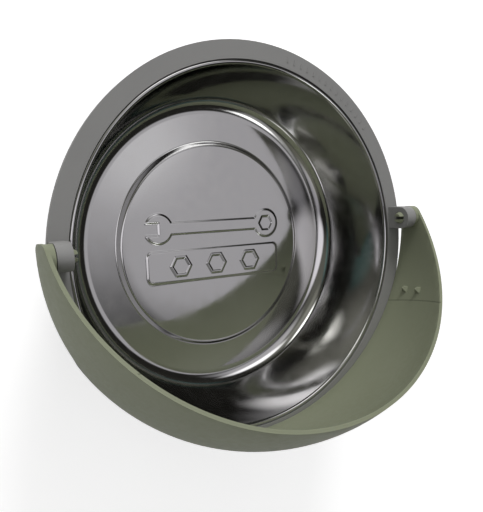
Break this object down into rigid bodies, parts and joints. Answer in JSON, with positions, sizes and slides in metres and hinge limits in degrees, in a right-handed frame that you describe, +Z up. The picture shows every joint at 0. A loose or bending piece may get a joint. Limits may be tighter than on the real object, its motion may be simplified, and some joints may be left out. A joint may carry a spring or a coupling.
{
  "type": "parts sorting tray",
  "caption": "Round polished steel tray with a magnet foot, set in a plastic ring that carries a swinging curved guard over the bowl's edge.",
  "frame": {"origin": "centre of the rubber foot's bearing face, on the bowl's axis", "axes": "+Z up along the bowl's axis, +X along the hinge line, -Y towards the side that the guard covers at rest"},
  "size_m": [0.1726, 0.1617, 0.1035],
  "materials": {
    "polished_steel": "polished stainless sheet",
    "ring_plastic": "moulded, light satin",
    "visor_plastic": "moulded, light satin",
    "zinc_steel": "zinc plated",
    "foam": "thin closed-cell foam",
    "ferrite": "sintered ferrite",
    "hub_plastic": "moulded",
    "keeper_steel": "zinc plated",
    "boot_rubber": "moulded rubber"
  },
  "bodies": {
    "tray": {"dish": "polished_steel", "bezel_ring": "ring_plastic", "weld_stud": "zinc_steel", "foam_pad": "foam", "ring_magnet": "ferrite", "magnet_hub": "hub_plastic", "keeper_plate": "keeper_steel", "washer": "zinc_steel", "lock_nut": "zinc_steel", "rubber_boot": "boot_rubber"},
    "guard": {"visor": "visor_plastic"}
  },
  "joints": [
    {"name": "guard_hinge", "type": "hinge", "parent": "tray", "child": "guard", "pos_m": [0, 0.0066, 0.0538], "axis": [-1, 0, 0], "range_deg": [0, 180]}
  ]
}
